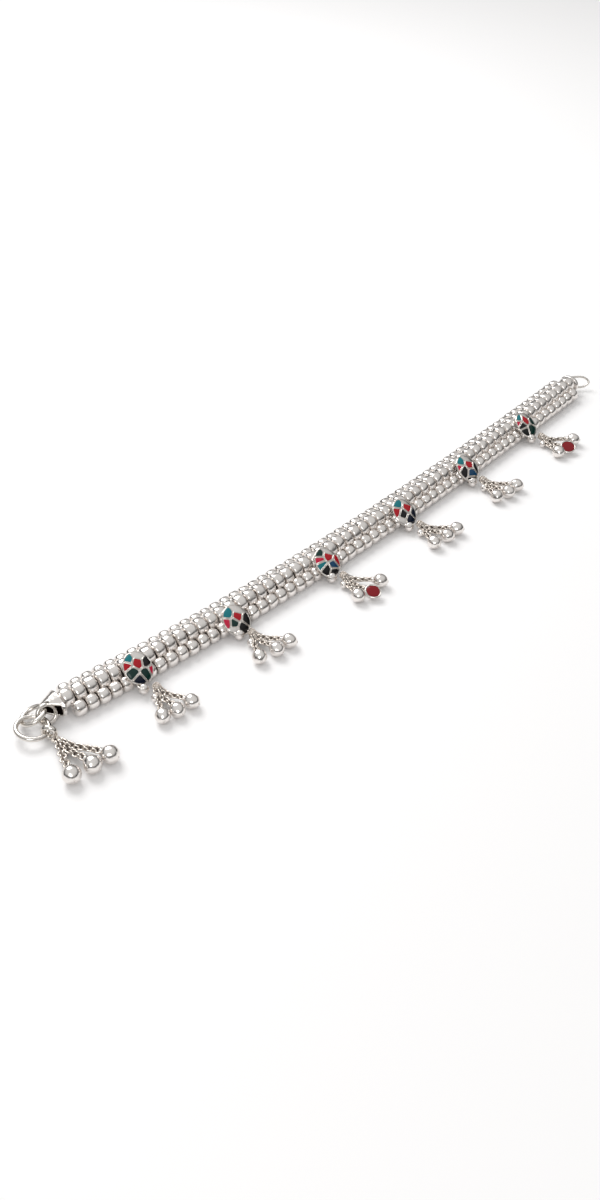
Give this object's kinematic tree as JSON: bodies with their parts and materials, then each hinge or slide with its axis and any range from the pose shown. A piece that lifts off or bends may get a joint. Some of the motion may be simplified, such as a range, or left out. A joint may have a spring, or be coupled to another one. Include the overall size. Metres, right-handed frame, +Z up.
{
  "type": "payal anklet",
  "caption": "Silver payal anklet: rows of round beads, enamelled oval plates with bell tassels, ring clasp with a larger tassel, and a wire hook, lying open.",
  "frame": {"origin": "middle of the anklet's bounding box, on the surface it lies on", "axes": "+X along the strap from the ring end to the hook end; -Y towards the tassels; +Z up"},
  "size_m": [0.256, 0.0363, 0.0092],
  "materials": {
    "polished_silver": "polished sterling silver, slightly dented",
    "oxidised_silver": "silver with dark oxide in its recesses",
    "enamel": "glossy vitreous enamel in silver cells, teal, red and dark green"
  },
  "bodies": {
    "root": {"bead_row_front": "polished_silver", "bead_row_middle": "polished_silver", "bead_row_back": "polished_silver", "ring_end_cap": "polished_silver", "hook_end_cap": "polished_silver", "hook": "polished_silver", "tongue_ring": "polished_silver", "link_ring": "polished_silver", "clasp_ring": "polished_silver", "tassel_eyelet": "polished_silver", "end_tassel_chains": "oxidised_silver", "end_tassel_bell_1": "polished_silver", "end_tassel_bell_2": "polished_silver", "end_tassel_bell_3": "polished_silver", "station_1_plate": "enamel", "station_1_collar": "oxidised_silver", "station_1_chains": "oxidised_silver", "station_1_bell_1": "polished_silver", "station_1_bell_2": "polished_silver", "station_1_bell_3": "polished_silver", "station_2_plate": "enamel", "station_2_collar": "oxidised_silver", "station_2_chains": "oxidised_silver", "station_2_bell_1": "polished_silver", "station_2_bell_2": "polished_silver", "station_2_bell_3": "polished_silver", "station_3_plate": "enamel", "station_3_collar": "oxidised_silver", "station_3_chains": "oxidised_silver", "station_3_bell_1": "polished_silver", "station_3_disc_2": "enamel", "station_3_bell_3": "polished_silver", "station_4_plate": "enamel", "station_4_collar": "oxidised_silver", "station_4_chains": "oxidised_silver", "station_4_bell_1": "polished_silver", "station_4_bell_2": "polished_silver", "station_4_bell_3": "polished_silver", "station_5_plate": "enamel", "station_5_collar": "oxidised_silver", "station_5_chains": "oxidised_silver", "station_5_bell_1": "polished_silver", "station_5_bell_2": "polished_silver", "station_5_bell_3": "polished_silver", "station_6_plate": "enamel", "station_6_collar": "oxidised_silver", "station_6_chains": "oxidised_silver", "station_6_bell_1": "polished_silver", "station_6_disc_2": "enamel", "station_6_bell_3": "polished_silver"}
  },
  "joints": []
}
